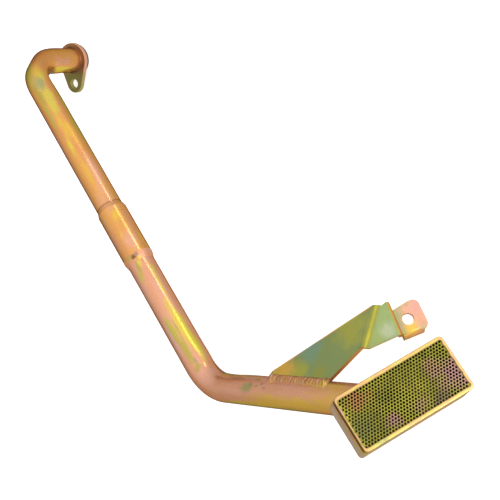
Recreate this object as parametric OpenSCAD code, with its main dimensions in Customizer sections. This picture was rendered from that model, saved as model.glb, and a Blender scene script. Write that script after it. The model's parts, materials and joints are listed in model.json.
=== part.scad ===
// Oil pickup tube: a welded steel suction pipe with a boxed strainer at one end
// and a one-bolt spigot flange at the other. It is drawn from the strainer outwards,
// then laid down the way it comes to rest on a flat surface.

/* [Tube] */
// Outside diameter of both tubes
tube_d = 25; // [20:0.5:30]
// Wall thickness of both tubes
tube_wall = 1.5; // [1:0.1:2.5]
// Lower leg, from the hood's roof to the corner of the lower bend
lower_leg = 209.5; // [180:0.5:260]
// Rise of the lower leg from the hood's roof, in degrees
leg_rise = 47.8; // [40:0.1:60]
// Heading of the lower leg over the roof, from the strainer's long side, in degrees
leg_heading = 131.4; // [110:0.1:150]
// Turn of the lower bend, in degrees
lower_bend = 58.3; // [45:0.1:75]
// Roll of the lower bend about the lower leg, in degrees
lower_roll = -128.3; // [-150:0.1:-100]
// Centre-line radius of the lower bend
lower_bend_r = 38; // [32:1:60]
// Long run, from corner to corner of the two bends
long_run = 374; // [300:0.5:460]
// Turn of the upper bend, in degrees
upper_bend = 78; // [60:0.5:90]
// Roll of the upper bend about the long run, in degrees
upper_roll = 105; // [80:0.5:130]
// Centre-line radius of the upper bend
upper_bend_r = 40; // [26:1:45]
// Swell of the tube in its bends, measured on the radius
bend_swell = 0.05; // [0.03:0.01:0.2]
// Length that each straight leg runs on inside its bend
bend_lap = 0.5; // [0.2:0.1:1]
// End leg, from the corner of the upper bend to the back of the flange
end_leg = 67; // [55:0.1:100]

/* [Socket joint] */
// Mouth of the expanded socket, measured from the corner of the lower bend
socket_start = 137.5; // [100:0.5:180]
// Straight length of the socket
socket_len = 51; // [30:1:80]
// Length of the cone that narrows the socket to the tube
socket_cone = 5; // [3:0.5:15]
// Wall thickness of the expanded socket
socket_wall = 1.4; // [1:0.1:2.5]
// Radial play of the inner tube in the socket
socket_play = 0.1; // [0.05:0.05:0.3]
// Depth that the inner tube reaches into the socket
insert_len = 40; // [20:1:50]
// Section radius of the weld bead at the socket's mouth
socket_bead_r = 3; // [2:0.25:4]
// How far the bead's centre lies inside the inner tube's surface
socket_bead_sink = 1; // [0.5:0.1:1.5]
// How far the bead's centre lies in front of the socket's mouth
socket_bead_lead = 1.2; // [0.5:0.1:2]

/* [Flange] */
// Thickness of the flange plate
flange_t = 4.5; // [4:0.5:8]
// Radius of the flange's round head
flange_head_r = 17.4; // [16:0.1:24]
// Radius of the flange's ear
ear_r = 9.5; // [7:0.5:12]
// Distance from the tube's axis to the ear's bolt hole
ear_reach = 24.5; // [21:0.5:36]
// Direction of the ear about the tube's axis, in degrees
ear_turn = 41; // [0:0.5:60]
// Diameter of the ear's bolt hole
ear_hole_d = 9; // [6:0.5:11]
// Radial play of the tube in the flange
flange_play = 0.05; // [0.05:0.05:0.3]
// Leg of the weld fillet behind the flange
flange_bead = 1.6; // [1:0.2:3]
// Length of the spigot in front of the flange
spigot_len = 5; // [4:0.5:12]
// Section diameter of the sealing ring
ring_section = 4; // [2:0.1:5]

/* [Strainer] */
// Length of the strainer over its rim
strainer_l = 87; // [70:0.5:110]
// Width of the strainer over its rim
strainer_w = 41.5; // [38:0.5:60]
// Depth of the hood below the perforated face
hood_depth = 30; // [20:0.5:40]
// Sheet thickness of the hood
hood_wall = 1.2; // [0.8:0.1:2]
// Outside corner radius of the hood's walls, seen in plan
hood_corner_r = 3; // [2.5:0.5:8]
// Outside radius between the hood's roof and its walls
roof_edge_r = 2.5; // [2:0.5:6]
// Overhang of the rolled rim beyond the hood's walls
rim_overhang = 0.2; // [0.1:0.1:1]
// Depth of the crimped neck under the rim
neck_inset = 1.2; // [0.6:0.1:2]
// Height of the crimped neck
neck_h = 1.6; // [1:0.1:3]
// Width of the folded lip along the long sides
lip_long = 2.8; // [2:0.1:5]
// Width of the folded lip along the short sides
lip_short = 1.2; // [1.1:0.1:4]
// Thickness of the folded lip
lip_t = 0.8; // [0.6:0.1:1]
// Thickness of the perforated plate
plate_t = 1; // [0.6:0.1:2]
// Play of the plate's edge inside the rolled rim
plate_play = 0.1; // [0.05:0.05:0.3]
// Pitch of the perforations
hole_pitch = 2.32; // [2:0.02:4]
// Diameter of the perforations
hole_d = 1.3; // [0.8:0.05:1.8]
// Plain margin between the lip and the first row of perforations
hole_margin = 0.1; // [0.1:0.1:3]
// Tube's entry along the roof, from the strainer's centre
entry_x = -2.5; // [-10:0.1:10]
// Tube's entry across the roof, from the strainer's centre
entry_y = -0.7; // [-2:0.1:2]
// Length of the tube's end inside the hood's roof
tube_proud = 2; // [1:0.5:5]
// Radial play of the tube in the hood's roof
roof_play = 0.05; // [0.05:0.05:0.3]
// Leg of the weld bead round the tube on the roof
roof_bead = 3; // [2:0.5:5]

/* [Bracket] */
// Sheet thickness of the bracket
sheet_t = 3; // [2:0.5:5]
// Swell of the sheet in its bends, on each face
sheet_swell = 0.03; // [0.02:0.01:0.1]
// Length that each flat runs on inside its bend
sheet_lap = 0.2; // [0.1:0.05:0.2]
// Width of the relief cuts beside the tab's bends
relief = 0.4; // [0.2:0.1:1]
// Turn of the bracket's foot about the lower leg, in degrees
foot_turn = 179; // [160:0.5:190]
// Distance from the tube's axis to the back of the foot
foot_offset = 4; // [0:0.5:8]
// Near end of the foot's welded edge, measured along the leg from the roof
foot_near = 62.5; // [50:0.5:90]
// Length of the foot's welded edge
foot_len = 68; // [40:1:90]
// Clipped corner at the far end of the foot
foot_clip = 3.5; // [1:0.5:8]
// Height of the ramp's bend above the tube's axis, at its low end
bend_low = 39.3; // [28:0.1:45]
// Height of the ramp's bend above the tube's axis, at its high end
bend_high = 70.3; // [55:0.1:80]
// Outside radius of the bend between ramp and shelf
ramp_bend_r = 9; // [5:0.5:12]
// Depth of the shelf below the perforated face
shelf_drop = 51.5; // [40:0.5:60]
// Step down from the shelf to the tab
tab_step = 8; // [6:0.5:16]
// Outside radius of the step's bends
step_bend_r = 4; // [3.5:0.5:6]
// Tab hole along the strainer's long side, from the strainer's centre
tab_x = 47.7; // [42:0.1:60]
// Tab hole across the strainer, from the strainer's centre
tab_y = 49.9; // [40:0.1:60]
// Turn of the tab in its own plane, in degrees
tab_turn = -8; // [-15:0.5:0]
// Distance from the tab hole back to the step
tab_back = 9.8; // [9:0.1:14]
// Distance from the tab hole to the tab's end
tab_front = 12.7; // [9:0.1:18]
// Distance from the tab hole to the tab's lower edge
tab_low = 11.3; // [9:0.1:16]
// Distance from the tab hole to the lower end of the step
step_low = 10; // [8:0.5:12]
// Distance from the tab hole to the tab's upper edge
tab_high = 12.8; // [9:0.1:18]
// Distance from the tab hole to the upper edge where the tab leaves the step
tab_neck = 9.8; // [7:0.1:14]
// Distance from the tab hole to the shelf's upper corner at the step
shelf_corner = 15; // [12:0.5:20]
// Length of the folded lip under the tab
lug_len = 17; // [10:0.5:18]
// Depth of the folded lip under the tab
lug_drop = 7; // [5:0.5:12]
// How far the folded lip stands out below the tab's lower edge
lug_out = 1.4; // [0.5:0.1:3]
// Radius of the tab's outer corners
tab_corner_r = 5; // [2:0.5:8]
// Diameter of the tab's bolt hole
tab_hole_d = 9; // [6:0.5:11]
// Gap left under the foot's edge when it is fitted to the tube
foot_gap = 0.02; // [0.01:0.01:0.1]
// Width of the weld face along the foot
foot_bead = 9; // [5:0.5:10]
// Height that the foot's weld climbs on the sheet
foot_bead_rise = 1; // [0.5:0.1:2]
// Swell of the foot's weld beyond its flat face
foot_bead_swell = 1.2; // [0.5:0.1:2]

/* [Hidden] */
$fn = 64;
eps = 0.01;
over = 50;
tube_r = tube_d / 2;
bore_r = tube_r - tube_wall;
socket_bore_r = tube_r + socket_play;
socket_r = socket_bore_r + socket_wall;

// Placement matrices: a frame's third axis runs along its leg, away from the strainer
function shift(v) = [[1, 0, 0, v.x], [0, 1, 0, v.y], [0, 0, 1, v.z], [0, 0, 0, 1]];
function spin_y(a) = [[cos(a), 0, sin(a), 0], [0, 1, 0, 0], [-sin(a), 0, cos(a), 0], [0, 0, 0, 1]];
function spin_z(a) = [[cos(a), -sin(a), 0, 0], [sin(a), cos(a), 0, 0], [0, 0, 1, 0], [0, 0, 0, 1]];
function axis(m, i) = [m[0][i], m[1][i], m[2][i]];
function unit(v) = v / norm(v);
function frame(x, y, z, o) = [[x.x, y.x, z.x, o.x], [x.y, y.y, z.y, o.y], [x.z, y.z, z.z, o.z], [0, 0, 0, 1]];

entry = [entry_x, entry_y, -hood_depth];
leg_frame = shift(entry) * spin_z(leg_heading) * spin_y(90 + leg_rise);
run_frame = leg_frame * shift([0, 0, lower_leg]) * spin_z(lower_roll) * spin_y(lower_bend);
end_frame = run_frame * shift([0, 0, long_run]) * spin_z(upper_roll) * spin_y(upper_bend);
flange_frame = end_frame * shift([0, 0, end_leg]);
lower_tangent = lower_bend_r * tan(lower_bend / 2);
upper_tangent = upper_bend_r * tan(upper_bend / 2);

// The hood's walls stand inside the rim, and its roof's flat middle inside the walls
body_l = strainer_l - 2 * rim_overhang;
body_w = strainer_w - 2 * rim_overhang;
rim_r = hood_corner_r + rim_overhang;
neck_l = strainer_l - 2 * neck_inset;
neck_w = strainer_w - 2 * neck_inset;
neck_r = rim_r - neck_inset;
shoulder = neck_inset - rim_overhang + hood_wall;
core_l = body_l / 2 - hood_corner_r;
core_w = body_w / 2 - hood_corner_r;
plate_l = strainer_l - 2 * (lip_t + plate_play);
plate_w = strainer_w - 2 * (lip_t + plate_play);
row_pitch = hole_pitch * sqrt(3) / 2;
hole_rows = floor((strainer_w - 2 * (lip_long + hole_margin) - hole_d) / row_pitch) + 1;
hole_cols = floor((strainer_l - 2 * (lip_short + hole_margin) - hole_d) / hole_pitch - 0.5) + 1;

// The bracket's foot: first axis out of the sheet, second axis up from the tube
foot_frame = leg_frame * spin_z(foot_turn);
foot_normal = axis(foot_frame, 0);
foot_up = axis(foot_frame, 1);
foot_along = axis(foot_frame, 2);
foot_front = foot_offset + sheet_t;
foot_edge = sqrt(tube_r * tube_r - foot_offset * foot_offset) + foot_gap;
foot_toe = foot_edge - foot_bead;
function ramp_corner(y) = let (
    level = -shelf_drop - entry.z - foot_front * foot_normal.z - y * foot_up.z
) entry + foot_front * foot_normal + y * foot_up + level / foot_along.z * foot_along;
function on_foot(v) = [(v - entry) * foot_up, (v - entry) * foot_along];
corner_low = ramp_corner(bend_low);
corner_high = ramp_corner(bend_high);
bend_dir = unit(corner_high - corner_low);
bend_width = norm(corner_high - corner_low);
ramp_angle = acos(foot_normal.z);
ramp_tangent = ramp_bend_r * tan(ramp_angle / 2);
down_ramp = cross(foot_normal, bend_dir) * sign(cross(foot_normal, bend_dir) * foot_along);
along_shelf = cross(bend_dir, [0, 0, 1]);

// The tab's face, and the two ends of the folded lip under it
tab_level = -shelf_drop - tab_step;
tab_start = -tab_back + step_bend_r - sheet_t;
lug_end = tab_start + lug_len;
function tab_point(x, y) = [
    tab_x + x * cos(tab_turn) - y * sin(tab_turn),
    tab_y + x * sin(tab_turn) + y * cos(tab_turn)
];

// At rest the lower bend, the flange's ear and the folded lip's corner touch the floor.
// The floor's direction is found by turns: each touch follows it, and it follows the touches.
function across(d, n) = unit(d - d * n * n);
bend_hub = leg_frame * shift([0, 0, lower_leg - lower_tangent]) * spin_z(lower_roll) * shift([lower_bend_r, 0, 0]);
head_frame = flange_frame * shift([0, 0, flange_t]);
ear_frame = head_frame * spin_z(ear_turn) * shift([ear_reach, 0, 0]);
lug_corner = concat(tab_point(lug_end, -tab_low - lug_out), tab_level - lug_drop);
function bend_touch(d) = axis(bend_hub, 3) + lower_bend_r * across(d, axis(bend_hub, 1)) + (tube_r + bend_swell) * d;
function disc_edge(m, r, d) = axis(m, 3) + r * across(d, axis(m, 2));
function ear_touch(d) = disc_edge(ear_frame, ear_r, d);
function floor_under(d) = let (
    n = unit(cross(ear_touch(d) - bend_touch(d), lug_corner - bend_touch(d)))
) n * sign(n * d);
function settle(d, turns) = turns == 0 ? d : settle(floor_under(d), turns - 1);
settle_turns = 20;
down = settle([0, 0, -1], settle_turns);
lie_x = unit(ear_touch(down) - bend_touch(down));
lie_y = cross(lie_x, down);
lie_turn = [concat(lie_x, 0), concat(lie_y, 0), concat(-down, 0), [0, 0, 0, 1]];

// The origin lies on the floor under the middle of the part: the hood's corners bound it on two sides,
// the flange's head and the lower bend on the other two
hood_corners = [
    for (x = [-1, 1], y = [-1, 1], z = [lip_t, -hood_depth])
        [x * strainer_l / 2, y * strainer_w / 2, z]
];
function hood_reach(d) = max([for (c = hood_corners) c * d]);
mid_x = (disc_edge(head_frame, flange_head_r, lie_x) * lie_x - hood_reach(-lie_x)) / 2;
mid_y = (bend_touch(lie_y) * lie_y - hood_reach(-lie_y)) / 2;
lie = shift([-mid_x, -mid_y, lug_corner * down]) * lie_turn;

// One bend of tube, turning the third axis towards the first
module elbow(r, bend_r, angle) {
    translate([bend_r, 0, 0])
        rotate([90, 0, 180])
            rotate_extrude(angle = angle)
                translate([bend_r, 0])
                    circle(r + bend_swell);
}

// Lays a piece down from the strainer's frame on to the floor
module lay() {
    multmatrix(lie)
        children();
}

module upper_outline(r, r_socket, start, nose) {
    cone_start = socket_start + socket_len;
    run_end = long_run - upper_tangent;
    multmatrix(run_frame) {
        rotate_extrude()
            polygon([
                [0, socket_start - start],
                [r_socket, socket_start - start],
                [r_socket, cone_start],
                [r, cone_start + socket_cone],
                [r, run_end + bend_lap],
                [0, run_end + bend_lap]
            ]);
        translate([0, 0, run_end])
            rotate([0, 0, upper_roll])
                elbow(r, upper_bend_r, upper_bend);
    }
    multmatrix(end_frame)
        translate([0, 0, upper_tangent - bend_lap])
            cylinder(r = r, h = bend_lap + end_leg + flange_t + spigot_len + nose - upper_tangent);
}

module upper_tube() {
    color("darkkhaki")
        lay()
            difference() {
                upper_outline(tube_r, socket_r, 0, 0);
                upper_outline(bore_r, socket_bore_r, 1, 1);
            }
}

module lower_outline(r, tail) {
    multmatrix(leg_frame) {
        translate([0, 0, -over])
            cylinder(r = r, h = over + lower_leg - lower_tangent + bend_lap);
        translate([0, 0, lower_leg - lower_tangent])
            rotate([0, 0, lower_roll])
                elbow(r, lower_bend_r, lower_bend);
    }
    multmatrix(run_frame)
        translate([0, 0, lower_tangent - bend_lap])
            cylinder(r = r, h = bend_lap + socket_start + insert_len + tail - lower_tangent);
}

module lower_tube() {
    color("goldenrod")
        lay()
            difference() {
                lower_outline(tube_r, 0);
                lower_outline(bore_r, 1);
                translate([-over, -over, hood_wall + tube_proud - hood_depth])
                    cube(2 * over);
            }
}

// Weld bead in the corner between the socket's mouth and the inner tube
module socket_weld() {
    color("peru")
        lay()
            multmatrix(run_frame)
                translate([0, 0, socket_start])
                    rotate_extrude()
                        intersection() {
                            translate([tube_r - socket_bead_sink, -socket_bead_lead])
                                circle(socket_bead_r);
                            translate([tube_r, -2 * socket_bead_r])
                                square(2 * socket_bead_r);
                        }
}

module flange_outline() {
    lean = acos((flange_head_r - ear_r) / ear_reach);
    circle(flange_head_r);
    translate([ear_reach, 0])
        circle(ear_r);
    polygon([
        flange_head_r * [cos(lean), sin(lean)],
        flange_head_r * [cos(lean), -sin(lean)],
        [ear_reach, 0] + ear_r * [cos(lean), -sin(lean)],
        [ear_reach, 0] + ear_r * [cos(lean), sin(lean)]
    ]);
}

module flange() {
    color("darkgoldenrod")
        lay()
            multmatrix(flange_frame)
                rotate([0, 0, ear_turn])
                    difference() {
                        linear_extrude(flange_t)
                            flange_outline();
                        translate([0, 0, -eps])
                            cylinder(r = tube_r + flange_play, h = flange_t + 2 * eps);
                        translate([ear_reach, 0, -eps])
                            cylinder(d = ear_hole_d, h = flange_t + 2 * eps);
                    }
}

// Flat weld fillet between the tube and the back of the flange
module flange_weld() {
    color("saddlebrown")
        lay()
            multmatrix(flange_frame)
                rotate_extrude()
                    polygon([[tube_r, 0], [tube_r, -flange_bead], [tube_r + flange_bead, 0]]);
}

module sealing_ring() {
    color("black")
        lay()
            multmatrix(flange_frame)
                translate([0, 0, flange_t + ring_section / 2])
                    rotate_extrude()
                        translate([tube_r + ring_section / 2, 0])
                            circle(d = ring_section);
}

// Rectangle with round corners, centred
module rounded(l, w, r) {
    square([l - 2 * r, w], center = true);
    square([l, w - 2 * r], center = true);
    for (x = [-1, 1], y = [-1, 1])
        translate([x * (l / 2 - r), y * (w / 2 - r)])
            circle(r);
}

// Flat band that follows the rim, from an outer size in to an inner size
module band(l, w, r, inset_l, inset_w) {
    difference() {
        rounded(l, w, r);
        rounded(l - 2 * inset_l, w - 2 * inset_w, max(r - inset_l, r - inset_w, r / 4));
    }
}

// Carries a side-on profile round the roof's edge: arcs at the corners, straight runs between
module around(half_l, half_w) {
    for (a = [0 : 90 : 270])
        translate([half_l * sign(cos(a + 45)), half_w * sign(sin(a + 45)), 0])
            rotate([0, 0, a])
                rotate_extrude(angle = 90)
                    children();
    for (a = [0, 180])
        rotate([0, 0, a])
            translate([half_l, half_w, 0])
                rotate([90, 0, 0])
                    linear_extrude(2 * half_w)
                        children();
    for (a = [90, 270])
        rotate([0, 0, a])
            translate([half_w, half_l, 0])
                rotate([90, 0, 0])
                    linear_extrude(2 * half_l)
                        children();
}

// Quarter of the roof's edge, seen side-on
module roof_edge() {
    square([hood_corner_r - roof_edge_r, hood_wall]);
    translate([hood_corner_r - roof_edge_r, roof_edge_r])
        intersection() {
            difference() {
                circle(roof_edge_r);
                circle(roof_edge_r - hood_wall);
            }
            translate([0, -roof_edge_r])
                square(roof_edge_r);
        }
}

module strainer_hood() {
    wall_top = -plate_t - 2 * hood_wall - neck_h;
    color("tan")
        lay()
            difference() {
                union() {
                    translate([0, 0, -hood_depth]) {
                        around(core_l, core_w)
                            roof_edge();
                        translate([-core_l, -core_w, 0])
                            cube([2 * core_l, 2 * core_w, hood_wall]);
                        translate([0, 0, roof_edge_r])
                            linear_extrude(hood_depth - roof_edge_r + wall_top)
                                band(body_l, body_w, hood_corner_r, hood_wall, hood_wall);
                    }
                    translate([0, 0, wall_top])
                        linear_extrude(hood_wall)
                            band(body_l, body_w, hood_corner_r, shoulder, shoulder);
                    translate([0, 0, wall_top])
                        linear_extrude(2 * hood_wall + neck_h)
                            band(neck_l, neck_w, neck_r, hood_wall, hood_wall);
                    translate([0, 0, -plate_t - hood_wall])
                        linear_extrude(hood_wall)
                            band(strainer_l, strainer_w, rim_r, neck_inset + hood_wall, neck_inset + hood_wall);
                    translate([0, 0, -plate_t - hood_wall])
                        linear_extrude(plate_t + hood_wall + lip_t)
                            band(strainer_l, strainer_w, rim_r, lip_t, lip_t);
                    linear_extrude(lip_t)
                        band(strainer_l, strainer_w, rim_r, lip_short, lip_long);
                }
                multmatrix(leg_frame)
                    translate([0, 0, -over])
                        cylinder(r = tube_r + roof_play, h = 2 * over);
            }
}

// Thin slice of the slanting leg, level with the roof
module leg_slice(r, z) {
    intersection() {
        multmatrix(leg_frame)
            translate([0, 0, -over])
                cylinder(r = r, h = 2 * over, $fn = 32);
        translate([-over, -over, z])
            cube([2 * over, 2 * over, eps]);
    }
}

// Weld bead round the tube on the outside of the roof
module hood_weld() {
    color("peru")
        lay()
            difference() {
                hull() {
                    leg_slice(tube_r + roof_bead, -hood_depth - eps);
                    leg_slice(tube_r + roof_bead / 4, -hood_depth - roof_bead);
                }
                multmatrix(leg_frame)
                    translate([0, 0, -over])
                        cylinder(r = tube_r, h = 2 * over);
            }
}

// Perforated plate, clamped between the hood's shoulder and the folded lip
module strainer_plate() {
    color("olive")
        lay()
            translate([0, 0, -plate_t])
                linear_extrude(plate_t)
                    difference() {
                        rounded(plate_l, plate_w, rim_r - lip_t - plate_play);
                        for (j = [0 : hole_rows - 1], i = [0 : hole_cols - 1])
                            translate([
                                (i - (hole_cols - 1) / 2 + (j % 2 - 0.5) / 2) * hole_pitch,
                                (j - (hole_rows - 1) / 2) * row_pitch
                            ])
                                circle(d = hole_d, $fn = 16);
                    }
}

// Places a shape drawn in the tab's own plane, about the tab hole
module at_tab() {
    translate([tab_x, tab_y, 0])
        rotate([0, 0, tab_turn])
            children();
}

// Quarter of a sheet bend, seen side-on, in the quadrant that the two signs give
module quarter_bend(x, y) {
    intersection() {
        difference() {
            circle(step_bend_r + sheet_swell);
            circle(step_bend_r - sheet_t - sheet_swell);
        }
        translate([min(x, 0) * 2 * step_bend_r, min(y, 0) * 2 * step_bend_r])
            square(2 * step_bend_r);
    }
}

// Side view of the step, from the shelf's end down to the tab
module step_profile() {
    inner = step_bend_r - sheet_t;
    translate([-tab_back - step_bend_r, -shelf_drop - step_bend_r])
        quarter_bend(1, 1);
    translate([-tab_back - sheet_t, tab_level + inner - sheet_lap])
        square([sheet_t, tab_step - step_bend_r - inner + 2 * sheet_lap]);
    translate([-tab_back + inner, tab_level + inner])
        quarter_bend(-1, -1);
}

// End view of the folded lip, from the tab's flat round and down
module lug_profile() {
    translate([step_bend_r - tab_low - lug_out, tab_level - step_bend_r])
        quarter_bend(-1, 1);
    translate([-tab_low - lug_out, tab_level - lug_drop])
        square([sheet_t, lug_drop - step_bend_r + sheet_lap]);
}

module tab_outline() {
    flat_low = -tab_low - lug_out + step_bend_r;
    corner_x = tab_front - tab_corner_r;
    polygon([
        [tab_start - sheet_lap, flat_low],
        [tab_start + relief, flat_low],
        [tab_start + relief, flat_low - sheet_lap],
        [lug_end, flat_low - sheet_lap],
        [lug_end, -tab_low],
        [max(corner_x, lug_end), -tab_low],
        [corner_x, tab_high],
        [tab_corner_r, tab_high],
        [tab_start - sheet_lap, tab_neck]
    ]);
    translate([0, -tab_low + tab_corner_r])
        square([tab_front, tab_low + tab_high - 2 * tab_corner_r]);
    for (y = [-tab_low + tab_corner_r, tab_high - tab_corner_r])
        translate([corner_x, y])
            circle(tab_corner_r);
}

// Bent sheet: a ramp welded to the leg, a shelf, a step and the bolted tab
module bracket() {
    ramp_start = ramp_tangent * down_ramp;
    ramp_end = (ramp_tangent - sheet_lap) * down_ramp;
    shelf_start = (ramp_tangent - sheet_lap) * along_shelf;
    shelf_low = corner_low + shelf_start;
    shelf_top = corner_high + shelf_start;
    step_x = -tab_back - step_bend_r;
    color("yellowgreen")
        lay()
            difference() {
                union() {
                    multmatrix(frame(foot_up, foot_along, foot_normal, entry))
                        translate([0, 0, foot_offset])
                            linear_extrude(sheet_t)
                                polygon([
                                    [foot_edge, foot_near],
                                    [foot_edge, foot_near + foot_len],
                                    [foot_edge + foot_clip, foot_near + foot_len - foot_clip / 2],
                                    on_foot(corner_high + ramp_end),
                                    on_foot(corner_low + ramp_end)
                                ]);
                    multmatrix(frame(foot_normal, cross(bend_dir, foot_normal), bend_dir,
                        corner_low + ramp_start - ramp_bend_r * foot_normal))
                        rotate_extrude(angle = ramp_angle)
                            translate([ramp_bend_r - sheet_t - sheet_swell, 0])
                                square([sheet_t + 2 * sheet_swell, bend_width]);
                    translate([0, 0, -shelf_drop - sheet_t])
                        linear_extrude(sheet_t)
                            polygon([
                                [shelf_low.x, shelf_low.y],
                                tab_point(step_x, -step_low),
                                tab_point(step_x + sheet_lap, -step_low),
                                tab_point(step_x + sheet_lap, shelf_corner),
                                [shelf_top.x, shelf_top.y]
                            ]);
                    at_tab() {
                        translate([0, shelf_corner, 0])
                            rotate([90, 0, 0])
                                linear_extrude(step_low + shelf_corner)
                                    step_profile();
                        translate([0, 0, tab_level - sheet_t])
                            linear_extrude(sheet_t)
                                tab_outline();
                        translate([tab_start + relief, 0, 0])
                            rotate([90, 0, 90])
                                linear_extrude(lug_len - relief)
                                    lug_profile();
                    }
                }
                at_tab()
                    translate([0, 0, tab_level - sheet_t - eps])
                        cylinder(d = tab_hole_d, h = sheet_t + 2 * eps);
            }
}

// Broad weld face between the foot's edge and the tube
module bracket_weld() {
    toe = [sqrt(tube_r * tube_r - foot_toe * foot_toe), foot_toe];
    color("peru")
        lay()
            multmatrix(foot_frame)
                translate([0, 0, foot_near])
                    linear_extrude(foot_len)
                        difference() {
                            polygon([
                                [foot_front, foot_edge],
                                [foot_front, foot_edge + foot_bead_rise],
                                [foot_front + foot_bead_swell, foot_edge + foot_bead_rise / 2],
                                toe + [foot_bead_swell / 2, foot_bead_swell],
                                toe,
                                [foot_offset, foot_toe],
                                [foot_offset, foot_edge]
                            ]);
                            circle(tube_r);
                        }
}

upper_tube();
lower_tube();
socket_weld();
flange();
flange_weld();
sealing_ring();
strainer_hood();
hood_weld();
strainer_plate();
bracket();
bracket_weld();
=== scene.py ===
import json
from functools import partial

import bmesh
import bpy
import numpy as np
from mathutils import Matrix


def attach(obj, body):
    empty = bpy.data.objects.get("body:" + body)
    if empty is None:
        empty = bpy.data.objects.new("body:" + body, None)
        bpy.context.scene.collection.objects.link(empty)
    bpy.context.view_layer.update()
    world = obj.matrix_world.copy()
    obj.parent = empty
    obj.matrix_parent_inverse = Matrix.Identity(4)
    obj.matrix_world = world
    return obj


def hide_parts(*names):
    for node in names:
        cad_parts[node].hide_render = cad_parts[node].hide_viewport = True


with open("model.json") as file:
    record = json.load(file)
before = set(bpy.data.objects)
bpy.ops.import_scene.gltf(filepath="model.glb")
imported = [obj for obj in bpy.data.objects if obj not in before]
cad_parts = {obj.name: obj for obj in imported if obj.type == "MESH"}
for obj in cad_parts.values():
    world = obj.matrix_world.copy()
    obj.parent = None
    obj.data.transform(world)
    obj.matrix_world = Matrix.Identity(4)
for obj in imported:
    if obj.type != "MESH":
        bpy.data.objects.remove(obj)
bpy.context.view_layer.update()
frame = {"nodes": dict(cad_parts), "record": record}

# Lower tube: 25 mm drawn steel tube, bent cold on a former. It leaves the strainer's roof at a slant, turns
# through the lower bend and ends inside the upper tube's socket. It is zinc plated and yellow passivated,
# which shimmers from green through gold to pink along its length.
mm = 0.001
tube_r, bore_r = 12.5 * mm, 11 * mm
hood_depth, hood_wall, tube_proud = 30 * mm, 1.2 * mm, 2 * mm
leg_x, leg_y, leg_heading, leg_rise, leg_len = -2.5 * mm, -0.7 * mm, 131.4, 47.8, 209.5 * mm
low_turn, low_roll, low_r = 58.3, -128.3, 38 * mm
high_turn, high_roll, high_r = 78.0, 105.0, 40 * mm
run_len, end_len = 374 * mm, 67 * mm
socket_start, insert_len = 137.5 * mm, 40 * mm
flange_t, ear_reach, ear_turn = 4.5 * mm, 24.5 * mm, 41.0
tab_hole = np.array([47.7, 49.9, -61.0]) * mm
eye = np.array([-144.34, -53.88, 622.81]) * mm


def shift(x, y, z):
    """Matrix of a move by (x, y, z)."""
    m = np.eye(4)
    m[:3, 3] = x, y, z
    return m


def spin(axis, degrees):
    """Matrix of a right-handed turn about the first, second or third axis (0, 1 or 2)."""
    a, b = (axis + 1) % 3, (axis + 2) % 3
    m = np.eye(4)
    m[a, a] = m[b, b] = np.cos(np.radians(degrees))
    m[b, a] = np.sin(np.radians(degrees))
    m[a, b] = -m[b, a]
    return m


def placed(points, m):
    """Points (..., 3) carried by a matrix: m p + move."""
    return points @ m[:3, :3].T + m[:3, 3]


def triad(z, x):
    """Turn matrix whose third axis is z and whose first axis is x less its share along z."""
    z = z / np.linalg.norm(z)
    x = x - x @ z * z
    x = x / np.linalg.norm(x)
    return np.stack([x, np.cross(z, x), z], 1)


# Frames along the pipe, in the strainer's frame; each runs up its own leg
leg = shift(leg_x, leg_y, -hood_depth) @ spin(2, leg_heading) @ spin(1, 90 + leg_rise)
run = leg @ shift(0, 0, leg_len) @ spin(2, low_roll) @ spin(1, low_turn)
end = run @ shift(0, 0, run_len) @ spin(2, high_roll) @ spin(1, high_turn)
flange_back = end @ shift(0, 0, end_len)
ear = flange_back @ spin(2, ear_turn) @ shift(ear_reach, 0, flange_t / 2)

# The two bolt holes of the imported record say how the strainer's frame lies on the floor
mounts = {m["name"]: m for m in frame["record"]["mounts"]}
tab_at, ear_at = (np.array(mounts[n]["pos_m"]) for n in ("bracket_bolt", "flange_bolt"))
on_floor = triad(np.array(mounts["bracket_bolt"]["axis"]), ear_at - tab_at)
in_strainer = triad(np.array([0.0, 0.0, 1.0]), ear[:3, 3] - tab_hole)
lie = np.eye(4)
lie[:3, :3] = on_floor @ in_strainer.T
lie[:3, 3] = tab_at - lie[:3, :3] @ tab_hole


def bent_line(s, first, radius, degrees):
    """Centre line with one bend, at the lengths s: straight along the third axis for `first`, then an arc
    towards the first axis, then straight:
    c = (R - R cos f, 0, min(s, first) + R sin f) + t max(s - first - R turn, 0), with f = (s - first) / R
    kept from 0 to the turn and t the way along. Gives c and the way n to the arc's centre."""
    turn = np.radians(degrees)
    f = np.clip((s - first) / radius, 0, turn)
    t = np.stack([np.sin(f), 0 * f, np.cos(f)], -1)
    n = np.stack([np.cos(f), 0 * f, -np.sin(f)], -1)
    c = np.stack([radius - radius * np.cos(f), 0 * f, np.minimum(s, first) + radius * np.sin(f)], -1)
    return c + t * np.maximum(s - first - radius * turn, 0)[..., None], n


def tube_skin(s, angle, r, first, radius, degrees):
    """Points c(s) + r (n cos angle + b sin angle) about a bent line, b being its second axis."""
    c, n = bent_line(s, first, radius, degrees)
    b = np.array([0.0, 1.0, 0.0])
    return c + (r * np.cos(angle))[..., None] * n + (r * np.sin(angle))[..., None] * b


def put(name, data):
    """Object of a mesh, a lamp or a camera, put in the scene."""
    thing = bpy.data.objects.new(name, data)
    bpy.context.scene.collection.objects.link(thing)
    return thing


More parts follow.
